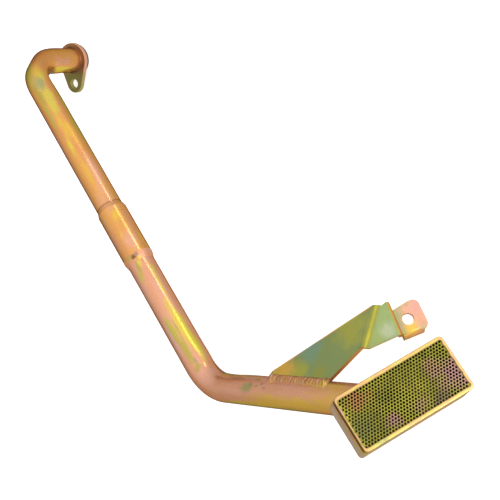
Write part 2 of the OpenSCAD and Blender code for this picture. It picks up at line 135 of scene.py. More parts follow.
def shell(name, points, faces, crease=38):
    """Mesh object in the row frame, from points (n, 3) of the strainer's frame and faces with four corners,
    (m, 4). It is smooth but for the edges that turn by more than `crease` degrees."""
    mesh = bpy.data.meshes.new(name)
    mesh.vertices.add(len(points))
    mesh.vertices.foreach_set("co", placed(points, lie).ravel())
    mesh.loops.add(faces.size)
    mesh.loops.foreach_set("vertex_index", faces.ravel())
    mesh.polygons.add(len(faces))
    mesh.polygons.foreach_set("loop_start", np.arange(0, faces.size, 4))
    mesh.update(calc_edges=True)
    mesh.shade_smooth()
    mesh.set_sharp_from_angle(angle=np.radians(crease))
    return put(name, mesh)


def solid(name, grids, wraps):
    """Shell whose faces are the cells of one or more grids of points (rows, columns, 3); wraps says for
    each whether its last row and its last column join the first. Faces look outward: a grid is turned over
    where the sum of (face's middle - grid's middle) . normal is below 0."""
    points, faces, count = [], [], 0
    for grid, (wrap_rows, wrap_cols) in zip(grids, wraps):
        rows, cols = grid.shape[:2]
        at = np.arange(rows * cols).reshape(rows, cols)
        i = np.arange(rows if wrap_rows else rows - 1)[:, None]
        j = np.arange(cols if wrap_cols else cols - 1)[None]
        i2, j2 = (i + 1) % rows, (j + 1) % cols
        quads = np.stack([at[i, j], at[i, j2], at[i2, j2], at[i2, j]], -1).reshape(-1, 4)
        flat = grid.reshape(-1, 3)
        q = flat[quads]
        normals = np.cross(q[:, 2] - q[:, 0], q[:, 3] - q[:, 1])
        outward = np.sum((q.mean(1) - flat.mean(0)) * normals)
        faces.append(count + (quads if outward > 0 else quads[:, ::-1]))
        points.append(flat)
        count += rows * cols
    return shell(name, np.concatenate(points), np.concatenate(faces))


def fitted(piece, node, material):
    """The piece stands for its CAD node, rides with the part and takes a material."""
    piece.data.materials.clear()
    piece.data.materials.append(material)
    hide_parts(node)
    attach(piece, "root")


# Colours of the film, each row a tone and its red, green and blue
shades = np.array([
    (0.0, 0.26, 0.42, 0.28), (0.12, 0.32, 0.40, 0.15), (0.24, 0.40, 0.38, 0.07), (0.35, 0.74, 0.68, 0.09),
    (0.44, 0.88, 0.58, 0.07), (0.56, 0.86, 0.45, 0.10), (0.70, 0.80, 0.34, 0.14), (0.84, 0.86, 0.44, 0.29),
    (0.92, 0.76, 0.40, 0.36), (1.0, 0.82, 0.75, 0.66), (1.2, 0.20, 0.10, 0.04)])
straw = (0.86, 0.74, 0.46, 1)
glint_tint = (0.22, 0.13, 0.06, 1)


def shade(tone):
    """Colour of the film at a tone, between the rows of shades: blue-green at 0, olive, gold, orange,
    copper, rose, beige at 1 and brown at 1.2."""
    return (*(float(np.interp(tone, shades[:, 0], shades[:, k])) for k in (1, 2, 3)), 1.0)


def shader_node(tree, kind, inputs, **settings):
    """Adds a node to a tree, links the inputs that are sockets and sets the others; gives its outputs."""
    made = tree.nodes.new(kind)
    for key, value in settings.items():
        setattr(made, key, value)
    for key, value in inputs.items():
        if isinstance(value, bpy.types.NodeSocket):
            tree.links.new(value, made.inputs[key])
        else:
            made.inputs[key].default_value = value
    return made.outputs


def bare_material(name):
    """Empty node material, and the function that adds nodes to it."""
    material = bpy.data.materials.new(name)
    material.use_nodes = True
    material.node_tree.nodes.clear()
    return material, partial(shader_node, material.node_tree)


def plated(name, tone, patch, streak, spots, straight, shine=0.34, worked=0.5, rag=1.6, pale=0.0):
    """Yellow-passivated zinc. A tone picks the colour: the base tone plus soft patches and lengthwise
    streaks. Over it lie spots with ragged outlines, each (centre, reach on three axes, tone, strength).
    With straight the places are those on the tube as it was before bending, otherwise those on the object.
    A face attribute named edge shifts the tone by `worked` on worked edges and on strips beside them that
    are painted highlights; a point attribute from 0 to 1 darkens, as painted shade in corners, creases, toes
    and hollows and on the sides turned from the eye, and as an even dark film on the flange; `pale` is the
    share of a pale straw colour."""
    material, add = bare_material(name)

    def plus(a, b, share):
        """a + b * share."""
        return add("ShaderNodeMath", {0: b, 1: share, 2: a}, operation="MULTIPLY_ADD")[0]

    def times(a, b):
        """a * b."""
        return add("ShaderNodeMath", {0: a, 1: b}, operation="MULTIPLY")[0]

    def vector(operation, *values):
        """Vector that an operation makes of its values."""
        return add("ShaderNodeVectorMath", dict(enumerate(values)), operation=operation)[0]

    def noise(at, scale, detail, rough=0.5):
        """Soft noise at a place, of `scale` lumps to the metre."""
        inputs = {"Vector": at, "Scale": scale, "Detail": detail, "Roughness": rough}
        return add("ShaderNodeTexNoise", inputs)

    def ranged(value, low, high, to_low, to_high, **settings):
        """to_low at low, to_high at high, and even between them."""
        ends = {"From Min": low, "From Max": high, "To Min": to_low, "To Max": to_high}
        return add("ShaderNodeMapRange", {"Value": value, **ends}, **settings)[0]

    def mixed(share, below, above):
        """below (1 - share) + above share, of two colours."""
        return add("ShaderNodeMixRGB", {"Fac": share, "Color1": below, "Color2": above})[0]

    # Patches are drawn out along the tube, and the streaks of the drawing die far more
    if straight:
        place = add("ShaderNodeAttribute", {}, attribute_name="straight")["Vector"]
    else:
        place = add("ShaderNodeTexCoord", {})["Object"]
    drawn = vector("MULTIPLY", place, (1, 1, 0.35 if straight else 1))
    lines = vector("MULTIPLY", place, (1, 1, 0.02 if straight else 1))
    clouds = noise(drawn, 60, 4, 0.6)["Fac"]
    wide = noise(drawn, 18, 2)["Fac"]
    brush = noise(lines, 240, 3)["Fac"]
    grain = noise(place, 900, 3)["Fac"]

    # Each noise is about a half, so half of what they add comes off the base tone first
    wide_share = 0.6
    at = plus(tone - 0.5 * ((1 + wide_share) * patch + streak), clouds, patch)
    at = plus(plus(at, wide, wide_share * patch), brush, streak)
    edge = add("ShaderNodeAttribute", {}, attribute_name="edge")["Fac"]
    at = plus(at, edge, worked)
    colour = add("ShaderNodeValToRGB", {"Fac": at})["Color"]
    stops = colour.node.color_ramp.elements
    stops.remove(stops[1])
    for k, stop in enumerate(shades[:-1, 0]):
        element = stops.new(stop) if k else stops[0]
        element.position = stop
        element.color = shade(stop)

    # A spot fades from a quarter of its reach outward; noise on the place makes its outline ragged
    ragged = vector("SUBTRACT", noise(drawn, 130, 3)["Color"], (0.5, 0.5, 0.5))
    for centre, reach, spot_tone, strength in spots:
        off = vector("DIVIDE", vector("SUBTRACT", place, tuple(centre)), tuple(reach))
        off = vector("MULTIPLY_ADD", ragged, (rag, rag, rag), off)
        far = add("ShaderNodeVectorMath", {0: off}, operation="LENGTH")["Value"]
        near = ranged(far, 1.0, 0.25, 0.0, strength, interpolation_type="SMOOTHSTEP")
        colour = mixed(near, colour, shade(spot_tone))
    colour = mixed(pale, colour, straw)

    # The darkening, painted shade and on the flange an even grime, takes up to 0.85 of the colour, less on
    # worked edges, and the grain a few hundredths
    dirt_and_shade = add("ShaderNodeAttribute", {}, attribute_name="dirt_and_shade")["Fac"]
    dirt_and_shade = plus(dirt_and_shade, times(edge, dirt_and_shade), -1.0)
    speck = times(ranged(grain, 0.3, 0.7, 0.94, 1.04), plus(1.0, dirt_and_shade, -0.85))
    colour = add("ShaderNodeVectorMath", {0: colour, "Scale": speck}, operation="SCALE")[0]
    rough = ranged(clouds, 0.3, 0.7, shine - 0.05, shine + 0.1)
    bump = add("ShaderNodeBump", {"Height": grain, "Strength": 0.04, "Distance": 0.2 * mm})[0]
    metal = {"Base Color": colour, "Metallic": 0.85, "Roughness": rough, "Normal": bump,
             "Specular Tint": glint_tint}
    add("ShaderNodeOutputMaterial", {"Surface": add("ShaderNodeBsdfPrincipled", metal)[0]})
    return material


def facing(m, s, side, r=tube_r):
    """Place on the unbent tube at length s, on the line that looks at the eye turned by `side` degrees."""
    way = np.linalg.inv(m)[:3, :3] @ (eye - placed(np.array([0, 0, s]), m))
    turn = np.arctan2(way[1], way[0]) + np.radians(side)
    return np.array([r * np.cos(turn), r * np.sin(turn), s])


low_tangent = low_r * np.tan(np.radians(low_turn) / 2)
low_first = leg_len - low_tangent
low_arc = low_r * np.radians(low_turn)
low_last = low_first + low_arc
low_end = low_last + socket_start + insert_len - low_tangent
low_leg = leg @ spin(2, low_roll)
low_run = run @ shift(0, 0, low_tangent - low_last)
around = np.linspace(0, 2 * np.pi, 96, endpoint=False)
length = np.concatenate([np.linspace(0, low_first, 70, endpoint=False),
                         np.linspace(low_first, low_last, 40, endpoint=False),
                         np.linspace(low_last, low_end, 60)])
out_z = low_leg[2, 0] * np.cos(around) + low_leg[2, 1] * np.sin(around)
cut_fade = 60 * mm


def cut_start(s, r):
    """Lengths moved so that the tube starts level with the roof, fading out over the first 60 mm."""
    start = (hood_wall + tube_proud - r * out_z) / low_leg[2, 2]
    return s[:, None] + start * np.clip(1 - s / cut_fade, 0, 1)[:, None]


def hump(x, centre, reach):
    """Bell exp(-((x - centre) / reach)^2)."""
    return np.exp(-((x - centre) / reach) ** 2)


s_out, s_in = cut_start(length, tube_r), cut_start(length[::-1], bore_r)
s_low = np.concatenate([s_out, s_in])
turn_low = np.broadcast_to(around, s_low.shape)

# Inside the bend the wall sinks by 0.8 mm before it and stands out by 1 mm after it
in_side = np.clip(np.cos(turn_low), 0, 1) ** 3
swelled = 1.0 * mm * hump(s_low, low_last + 6 * mm, 9 * mm)
sunk = 0.8 * mm * hump(s_low, low_first - 12 * mm, 14 * mm)
r_low = np.concatenate([0 * s_out + tube_r, 0 * s_in + bore_r]) + in_side * (swelled - sunk)
low_skin = tube_skin(s_low, turn_low, r_low, low_first, low_r, low_turn)
lower = solid("lower_tube_skin", [placed(low_skin, low_leg)], [(True, True)])


def mark_straight(piece, r, angle, s):
    """Keeps for each point its place (r cos a, r sin a, s) on the tube before bending."""
    store = piece.data.attributes.new("straight", "FLOAT_VECTOR", "POINT")
    store.data.foreach_set("vector", np.stack([r * np.cos(angle), r * np.sin(angle), s], -1).ravel())


def film(m, rows):
    """Spots of the plating's film on a straight length of tube: each row is the length, the side in degrees
    from the line that looks at the eye, the reach across, the reach along, the tone and the strength;
    lengths in mm."""
    return [(facing(m, at * mm, side), (across * mm, across * mm, along * mm), tone, strength)
            for at, side, across, along, tone, strength in rows]


flank_from, flank_to, flank_shade_depth, past_bend = 58, 84, 0.6, 60 * mm


def flank_shade(turn, s, first_m, last_m, bend_from, bend_to):
    """Painted shade on the two sides of the tube that turn away from the eye: 0.6 times an eased step from
    58 to
    84 degrees off the line that looks at the eye, which turns from the first straight's to the last one's
    over the bend."""
    first, last = (np.arctan2(*facing(m, at, 0)[1::-1])
                   for m, at in ((first_m, bend_from / 2), (last_m, bend_to + past_bend)))
    share = np.clip((s - bend_from) / (bend_to - bend_from), 0, 1)
    line = first + share * np.angle(np.exp(1j * (last - first)))
    off = np.degrees(np.abs(np.angle(np.exp(1j * (turn - line)))))
    k = np.clip((off - flank_from) / (flank_to - flank_from), 0, 1)
    return flank_shade_depth * k * k * (3 - 2 * k)


def darken_points(piece, grime_and_shade):
    """Writes the darkening of each point, from 0 to 1: painted shade on most pieces, an even dark film on
    the flange.
    """
    store = piece.data.attributes.new("dirt_and_shade", "FLOAT", "POINT")
    store.data.foreach_set("value", np.ascontiguousarray(grime_and_shade, float).ravel())


in_hood = 9 * mm
mark_straight(lower, r_low, turn_low, s_low)
# Painted shade: the two sides turned from the eye are darkened, and the first 9 mm, inside the hood, is dark
# all round.
darken_points(lower, np.maximum(flank_shade(turn_low, s_low, low_leg, low_run, low_first, low_last), s_low < in_hood))
# Film spots; the pale rose one in the lower bend, at 205 mm and 30 degrees, is a painted highlight.
low_film_and_highlight = film(low_leg, [
    (45, 0, 12, 40, 0.50, 0.7), (75, -40, 9, 48, 0.46, 0.7), (100, -74, 6, 75, 0.30, 0.7),
    (149, 10, 5, 10, 0.13, 0.75), (168, 44, 1.8, 28, 1.15, 0.6), (165, 72, 5, 36, 0.40, 0.8),
    (150, 56, 2.5, 12, 0.92, 0.6), (138.5, 47, 2.2, 5, 0.22, 0.8), (130, 27, 2, 3, 1.15, 0.6),
    (136, 17, 1.6, 3, 0.24, 0.8), (125.5, 13, 1.8, 3, 1.15, 0.5), (144, 23, 1.5, 3, 1.15, 0.5),
    (205, 30, 12, 22, 0.86, 0.8), (60, 50, 6, 40, 0.44, 0.6), (112, -34, 9, 52, 0.45, 0.7),
    (145, -64, 6, 50, 0.36, 0.7)])
# Film spots; the pale rose one at 305 mm and 10 degrees is a painted highlight.
low_film_and_highlight += film(low_run, [
    (258, 14, 7, 36, 0.44, 0.45), (256, 27, 5.4, 38, 0.37, 0.95), (312, 28, 3, 30, 0.40, 0.75),
    (262, 5, 1.3, 36, 0.40, 0.9), (262, -4, 0.9, 18, 0.24, 0.8), (263, -24, 6.5, 22, 0.29, 0.85),
    (242, -16, 5.5, 18, 0.27, 0.85), (229, -7, 3.2, 5, 1.14, 0.6), (222, -9, 4.5, 8, 0.25, 0.8),
    (328, -20, 3, 15, 0.26, 0.75), (321, -32, 3.5, 9, 0.30, 0.6), (333, -5, 3, 7, 0.38, 0.8),
    (324, 34, 2.5, 7, 0.33, 0.85), (255, -48, 3, 30, 0.95, 0.6), (305, 10, 5, 16, 0.86, 0.6)])
low_metal = plated("plated_lower_tube", tone=0.80, patch=0.22, streak=0.22, spots=low_film_and_highlight, straight=True,
                   shine=0.24)
fitted(lower, "lower_tube", low_metal)

# Upper tube: the same steel tube, expanded over a plug into a socket at its lower end and bent hard near
# the flange, where the outside of the bend has flattened and the inside has creased a little. Its plain end
# is the spigot.
socket_len, socket_cone, socket_r, socket_bore = 51 * mm, 5 * mm, 14.0 * mm, 12.6 * mm
spigot_len = 5 * mm
high_tangent = high_r * np.tan(np.radians(high_turn) / 2)
high_first = run_len - high_tangent
high_arc = high_r * np.radians(high_turn)
high_mid = high_first + high_arc / 2
high_last = high_first + high_arc
high_end = high_last + end_len + flange_t + spigot_len - high_tangent
high_run = run @ spin(2, high_roll)
high_leg = end @ shift(0, 0, high_tangent - high_last)
cone_from = socket_start + socket_len
cone_to = cone_from + socket_cone
length = np.concatenate([
    np.linspace(socket_start, cone_from - 0.4 * mm, 22),
    cone_from + np.linspace(0, 1, 9) * socket_cone,
    cone_to + np.array([0.3, 0.7, 1.2, 1.8]) * mm,
    np.linspace(cone_to + 3 * mm, high_first - 20 * mm, 40),
    np.linspace(high_first - 18 * mm, high_last + 12 * mm, 60),
    np.linspace(high_last + 14 * mm, high_end, 20)])


def eased(s, r_socket, r):
    """Radius along the upper tube: the socket's, then a cone down to the tube's that is a little eased."""
    k = np.clip((s - cone_from) / socket_cone, 0, 1)
    return r_socket + (r - r_socket) * (0.85 * k + 0.15 * k * k * (3 - 2 * k))


s_high = np.broadcast_to(np.concatenate([length, length[::-1]])[:, None], (2 * len(length), len(around)))
turn_high = np.broadcast_to(around, s_high.shape)
r_high = np.concatenate([eased(length, socket_r, tube_r), eased(length[::-1], socket_bore, bore_r)])[:, None]

# Marks of the bending: each is a bell of a height, a place past the bend's middle and a reach, in mm, on one
# side of the bend, where a power makes it narrower round the tube
inner_side = np.clip(np.cos(turn_high), 0, 1)
outer_side = np.clip(-np.cos(turn_high), 0, 1)
for height, past_mid, reach, side, power in (
        (-2.6, 4, 13, outer_side, 2), (1.6, 32, 16, outer_side, 2),
        (-0.8, 24, 12, inner_side, 4), (-5.6, -18, 14, inner_side, 3)):
    r_high = r_high + height * mm * hump(s_high, high_mid + past_mid * mm, reach * mm) * side ** power
high_skin = tube_skin(s_high, turn_high, r_high, high_first, high_r, high_turn)
upper = solid("upper_tube_skin", [placed(high_skin, high_run)], [(True, True)])
mark_straight(upper, r_high, turn_high, s_high)
# Painted shade: a dark line in the concave crease at the small end of the socket's cone, and the two sides
# turned from the eye darkened.
cone_foot_shade = 0.55 * hump(s_high, cone_to + 0.5 * mm, 0.8 * mm)
darken_points(upper, flank_shade(turn_high, s_high, high_run, high_leg, high_first, high_last) + cone_foot_shade)
high_film = film(high_run, [
    (348, 20, 8, 14, 0.36, 0.7), (318, 5, 8, 26, 0.34, 0.75), (354, -30, 8, 24, 0.27, 0.8),
    (356, 6, 6, 11, 0.46, 0.6), (339, 2, 6.5, 12, 0.08, 0.7), (328, -24, 5, 16, 0.24, 0.6),
    (305, -30, 3, 30, 0.28, 0.7), (290, 64, 5, 62, 0.28, 0.75), (282, 8, 8, 26, 0.46, 0.75),
    (262, -14, 3.2, 12, 0.40, 0.9), (225, 25, 7, 36, 0.84, 0.8), (232, -8, 4.5, 22, 0.50, 0.6),
    (196, 0, 14, 18, 0.80, 0.6), (260, -66, 4, 95, 0.90, 0.5), (178, 2, 5, 10, 0.45, 0.85),
    (159, -10, 2.6, 9, 0.42, 0.9), (150, 10, 8, 15, 0.84, 0.85), (165, 45, 5, 30, 0.80, 0.7),
    (165, -52, 5, 28, 0.88, 0.6), (165, -26, 3, 24, 0.62, 0.7), (150, 60, 4, 16, 0.46, 0.7)])
high_film += film(high_leg, [
    (395, 0, 7, 10, 0.84, 0.7), (407, 5, 5, 8, 0.86, 0.7), (402, 45, 6, 26, 0.38, 0.8),
    (388, 66, 4, 9, 0.24, 0.8)])
high_metal = plated("plated_upper_tube", tone=0.64, patch=0.22, streak=0.16, spots=high_film, straight=True,
                    shine=0.22)
fitted(upper, "upper_tube", high_metal)

# Socket weld: a thin bead of filler run round the socket's mouth, where it joins the two tubes. It is low,
# slightly rippled and plated over with the rest, with scorched brown patches on the side that faces up.


def ring_bead(name, profile, ripple, count, m, grime_and_shade=0.0):
    """Closed bead about the third axis of m: the profile (points, 2) of radius and height is carried round,
    and its radius swells by ripple * sin^2 of count ripples where the profile stands off the tube."""
    turn = np.linspace(0, 2 * np.pi, 180, endpoint=False)
    lift = (profile[:, 0] - profile[:, 0].min()) / np.ptp(profile[:, 0])
    wave = ripple * (np.sin(count / 2 * turn + 0.8 * np.sin(3 * turn)) ** 2 - 0.5)
    r = profile[:, :1] + lift[:, None] * wave
    grid = np.stack([r * np.cos(turn), r * np.sin(turn), np.broadcast_to(profile[:, 1:], r.shape)], -1)
    piece = solid(name, [placed(grid, m)], [(True, True)])
    darken_points(piece, np.broadcast_to(grime_and_shade, r.shape))
    return piece


def stains(rows, m=np.eye(4)):
    """Round spots of the film on a piece: each row is the place in the frame m, the reach, the tone and the
    strength; places and reaches in mm."""
    return [(placed(np.array(at) * mm, lie @ m), (reach * mm,) * 3, tone, strength)
            for at, reach, tone, strength in rows]


hug = tube_r - 0.05 * mm
bead_lap, bead_reach, bead_r = 0.3, -7.5, 14.2
profile = np.array([
    (14.02, bead_lap), (14.1, -0.5), (14.05, -1.6), (13.85, -2.9), (13.5, -4.3), (13.1, -5.6), (12.75, -6.8),
    (12.6, -7.4), (hug / mm, bead_reach), (hug / mm, bead_lap)]) * mm
weld_spots = stains([(facing(high_run, at * mm, side, bead_r * mm) / mm, *look) for at, side, *look in (
    (134.5, -14, 4, 1.2, 0.9), (135.5, 2, 3, 1.15, 0.85), (132, -12, 1.8, 0.38, 0.95),
    (131, 4, 3, 0.40, 0.8), (136, -38, 5, 0.26, 0.6))], high_run)
weld_metal = plated("plated_weld", tone=0.74, patch=0.4, streak=0.0, spots=weld_spots, straight=False,
                    shine=0.42)
socket_weld = ring_bead("socket_weld_skin", profile, 0.12 * mm, 30, run @ shift(0, 0, socket_start))
fitted(socket_weld, "socket_weld", weld_metal)

# Flange: a 4.5 mm plate blanked in one stroke, with a round head and one ear for the bolt; its edges are
# slightly broken by tumbling. It is pushed on the spigot, welded from behind and plated, with a dark olive
# film on the ear.
broad_area, sheared_off, bend_off, bend_mark = 400 * mm ** 2, 26, 24, 0.45


def blanked(node, material, edge, sheet, grime_and_shade, highlight_strip_w=0.0):
    """Copy of a CAD node with its seams joined, its sharp edges eased by `edge` and an even darkening. Faces
    that look more than 26 degrees away from every direction of the sheet are its sheared edges; nearer ones,
    up to half marked, its bends. On the broad faces that look along the first direction a strip of the given
    width along the longest edge is marked like a worked edge, a painted highlight in the worked edges'
    colour."""
    mesh = frame["nodes"][node].data.copy()
    joined = bmesh.new()
    joined.from_mesh(mesh)
    bmesh.ops.remove_doubles(joined, verts=joined.verts, dist=0.02 * mm)
    bmesh.ops.dissolve_limit(joined, angle_limit=np.radians(0.5), verts=joined.verts, edges=joined.edges)
    joined.normal_update()
    sharp = [e for e in joined.edges if e.calc_face_angle(0) > np.radians(40)]
    worked_or_lit = joined.faces.layers.int.new("worked_or_lit")
    bevels = bmesh.ops.bevel(joined, geom=sharp, offset=edge, segments=2, profile=0.5, affect="EDGES",
                             clamp_overlap=True)["faces"]
    for bevel in bevels:
        bevel[worked_or_lit] = 1
    first = lie[:3, :3] @ np.array(sheet[0])
    # A strip along the longest edge of the broad faces is marked like a worked edge: a painted highlight in
    # the worked edges' colour.
    for broad in [f for f in joined.faces
                  if highlight_strip_w and f.calc_area() > broad_area and abs(np.array(f.normal) @ first) > 0.999]:
        inset = bmesh.ops.inset_individual(joined, faces=[broad], thickness=highlight_strip_w, use_even_offset=True)
        max(inset["faces"], key=lambda f: max(e.calc_length() for e in f.edges))[worked_or_lit] = 1
    joined.to_mesh(mesh)
    joined.free()
    mesh.shade_smooth()
    mesh.set_sharp_from_angle(angle=np.radians(15))
    looks = np.zeros(3 * len(mesh.polygons))
    mesh.polygons.foreach_get("normal", looks)
    marked = np.zeros(len(mesh.polygons), dtype=np.int32)
    mesh.attributes["worked_or_lit"].data.foreach_get("value", marked)
    along = np.abs(looks.reshape(-1, 3) @ lie[:3, :3] @ np.transpose(sheet)).max(1)
    off = np.degrees(np.arccos(np.clip(along, 0, 1)))
    bent = bend_mark * np.clip(off / bend_off, 0, 1) ** 1.4
    worked = np.where((off > sheared_off) | (marked > 0), 1.0, bent)
    mesh.attributes.new("edge", "FLOAT", "FACE").data.foreach_set("value", worked)
    piece = put(node + "_skin", mesh)
    darken_points(piece, np.full(len(mesh.vertices), grime_and_shade))
    fitted(piece, node, material)
    return piece


ear_spot = (ear_at, (26 * mm,) * 3, 0.22, 0.9)
flange_metal = plated("plated_flange", tone=0.70, patch=0.3, streak=0.0, spots=[ear_spot], straight=False,
                      shine=0.36, worked=0.16, rag=1.0, pale=0.1)
blanked("flange", flange_metal, edge=0.5 * mm, sheet=[flange_back[:3, 2]], grime_and_shade=0.68)

# Flange weld: a small hollow fillet of filler in the corner where the tube comes out of the flange's back.
# It is laid in one turn, finely rippled, and painted dark all over, painted shade for the hollow corner it
# fills.
profile = np.array([
    (0, 0.05), (0, -1.6), (0.35, -1.15), (0.75, -0.65), (1.15, -0.3), (1.6, 0.0), (1.6, 0.05)]) * mm
profile[:, 0] += hug
# The darkening of 0.85 here is painted shade in the hollow corner.
flange_weld = ring_bead("flange_weld_skin", profile, 0.3 * mm, 40, flange_back, grime_and_shade=0.85)
fitted(flange_weld, "flange_weld", weld_metal)

# Sealing ring: a moulded black rubber ring that sits on the spigot against the flange's front. It is dusted
# grey in patches by the talc that such rings are stored in, and its skin is finely grained.
ring_section = 4 * mm
black, talc_grey = (0.010, 0.010, 0.011, 1), (0.045, 0.043, 0.040, 1)
rubber, add = bare_material("ring_rubber")
place = add("ShaderNodeTexCoord", {})["Object"]
talc, grain = (add("ShaderNodeTexNoise", {"Vector": place, "Scale": scale, "Detail": 4})["Fac"]
               for scale in (220, 1600))
dusted = add("ShaderNodeMapRange", {"Value": talc, "From Min": 0.4, "From Max": 0.8})[0]
rubber_look = {
    "Base Color": add("ShaderNodeMixRGB", {"Fac": dusted, "Color1": black, "Color2": talc_grey})[0],
    "Roughness": add("ShaderNodeMapRange", {"Value": talc, "To Min": 0.35, "To Max": 0.65})[0],
    "Normal": add("ShaderNodeBump", {"Height": grain, "Strength": 0.1, "Distance": 0.2 * mm})[0]}
add("ShaderNodeOutputMaterial", {"Surface": add("ShaderNodeBsdfPrincipled", rubber_look)[0]})
section = np.linspace(0, 2 * np.pi, 24, endpoint=False)
profile = ring_section / 2 * np.stack([1 + np.cos(section), np.sin(section)], 1) + [tube_r, 0]
ring_at = flange_back @ shift(0, 0, flange_t + ring_section / 2)
fitted(ring_bead("sealing_ring_skin", profile, 0.0, 2, ring_at), "sealing_ring", rubber)

# Strainer hood: a box pressed from 1.2 mm sheet, with a groove rolled in below its rim; the rim is folded
# over the plate by hand tools, so the hem waves a little. Plated like the rest and paler; the left end wall
# is painted greyer and paler still as a painted reflection, and the groove, the rim's edges and the inside
# are darkened with painted shade.
strainer_l, strainer_w, body_inset, neck_inset, neck_h = 87 * mm, 41.5 * mm, 0.2 * mm, 1.2 * mm, 1.6 * mm
hood_corner, roof_edge, roof_corner, roof_hole_r = 3 * mm, 2.5 * mm, 0.5 * mm, 12.55 * mm
lip_long, lip_short, lip_t, plate_t = 2.8 * mm, 1.2 * mm, 0.8 * mm, 1 * mm
rim_back, far_share = 1.1 * mm, 0.7
shoulder_z = -plate_t - 2 * hood_wall - neck_h
fold_z = -plate_t - hood_wall
lip_wide = lip_long - lip_short

# Columns round a rounded rectangle: at each the corner's centre (signs) and the angle; runs join the corners
corner = np.array([[1, 1], [-1, 1], [-1, -1], [1, -1]])
corner_cols, run_cols = 10, [30, 14, 30, 14]
signs, angles = [], []
for k in range(4):
    along = np.linspace(0, 1, run_cols[k] + 2)[1:-1, None]
    straight = corner[k] + along * (corner[(k + 1) % 4] - corner[k])
    signs += [np.repeat(corner[k:k + 1], corner_cols, 0), straight]
    angles += [np.radians(90 * k + np.linspace(0, 90, corner_cols)),
               np.full(run_cols[k], np.radians(90 * k + 90))]
signs, angles = np.concatenate(signs), np.concatenate(angles)


def rim_line(inset_l, inset_w, r, z):
    """Rounded rectangle of the strainer's size less the insets, with corner radius r, at height z."""
    half = np.array([strainer_l / 2 - inset_l, strainer_w / 2 - inset_w])
    flat = signs * (half - r) + r * np.stack([np.cos(angles), np.sin(angles)], -1)
    return np.concatenate([flat, np.full((len(flat), 1), z)], 1)


def roof_hole(r, z):
    """Where a tube of radius r about the slanting leg cuts the level z: an ellipse, longer by 1 / sin of
    the leg's rise along its heading."""
    outline = rim_line(0, 0, hood_corner, 0)
    towards = np.arctan2(outline[:, 1], outline[:, 0])
    flat = np.stack([np.cos(towards), np.sin(towards)], -1)
    heading = np.radians(leg_heading)
    lean = np.array([np.cos(heading), np.sin(heading)])
    across = flat - (flat @ lean)[:, None] * lean
    middle = leg[:2, 3] + leg[:2, 2] / leg[2, 2] * (z + hood_depth)
    flat = middle + r * (across + (flat @ lean / np.sin(np.radians(leg_rise)))[:, None] * lean)
    return np.concatenate([flat, np.full((len(flat), 1), z)], 1)


rows, dirt_and_shade = [], []


def ring(inset, r, z, grime_and_shade=0.0, back=1.0, wide=0.0):
    """Adds a row of the hood: inset from the strainer's size, `back` of the rim's setback more at the end
    beside the tube, `wide` more at the long sides and 0.7 of it at the far end, with corner radius r,
    height z and a darkening, which is painted shade in the groove, along the rim's edges and inside."""
    near, far = back * rim_back, far_share * wide
    rows.append(rim_line(inset + (near + far) / 2, inset + wide, r, z) + [(near - far) / 2, 0, 0])
    dirt_and_shade.append(grime_and_shade)


def roof(hole, edge, shares, grime_and_shade):
    """Adds rows of the roof: at each share of the way from its hole to its edge."""
    for k in shares:
        rows.append(hole + k * (edge - hole))
        dirt_and_shade.append(grime_and_shade)


# Across the roof from the tube's hole, over its rounded edge and down the walls to the shoulder
roof_shares = np.linspace(0, 1, 5)
roof(roof_hole(roof_hole_r, -hood_depth),
     rim_line(body_inset + roof_edge, body_inset + roof_edge, roof_corner, -hood_depth), roof_shares, 0.1)
for k in np.linspace(0, np.pi / 2, 8)[1:]:
    ring(body_inset + roof_edge * (1 - np.sin(k)), roof_corner + roof_edge * np.sin(k),
         -hood_depth + roof_edge * (1 - np.cos(k)), 0.05, 0)
for z in np.linspace(-26 * mm, shoulder_z - 0.5 * mm, 8):
    ring(body_inset, hood_corner, z, 0.0, 0)

# Into the groove of the neck and out to the rim, with painted shade darkening the groove
ring(body_inset + 0.05 * mm, 2.95 * mm, shoulder_z - 0.1 * mm, 0.0, 0)
ring(body_inset + 0.25 * mm, 2.8 * mm, shoulder_z + 0.15 * mm, 0.6, 0.05)
ring(body_inset + 0.6 * mm, 2.5 * mm, shoulder_z + 0.2 * mm, 0.8, 0.6)
ring(neck_inset - 0.1 * mm, 2.1 * mm, shoulder_z - 0.1 * mm, 0.95)
ring(neck_inset, 2.0 * mm, shoulder_z, 1.0)
ring(neck_inset, 2.0 * mm, fold_z - 0.4 * mm, 0.95)
ring(neck_inset - 0.25 * mm, 2.3 * mm, fold_z - 0.1 * mm, 0.8)

# Up the outside of the rim and over the lip to its hem, with painted shade lines along its outer and inner
# edges
ring(0.35 * mm, 2.9 * mm, fold_z, 0.5)
ring(0.08 * mm, 3.1 * mm, fold_z + 0.2 * mm, 0.3)
ring(0.01 * mm, 3.2 * mm, fold_z + 0.6 * mm, 0.1)
ring(0.01 * mm, 3.2 * mm, lip_t - 0.6 * mm, 0.3)
ring(0.1 * mm, 3.1 * mm, lip_t - 0.25 * mm, 0.45)
ring(0.35 * mm, 2.9 * mm, lip_t - 0.04 * mm, 0.4)
ring(0.6 * mm, 2.6 * mm, lip_t)
ring(0.8 * mm, 2.3 * mm, lip_t, 0.0, 1, 0.8 * mm)
ring(lip_short - 0.2 * mm, 1.5 * mm, lip_t - 0.03 * mm, 0.3, 1, lip_wide)
ring(lip_short, 1.2 * mm, lip_t - 0.25 * mm, 0.6, 1, lip_wide)

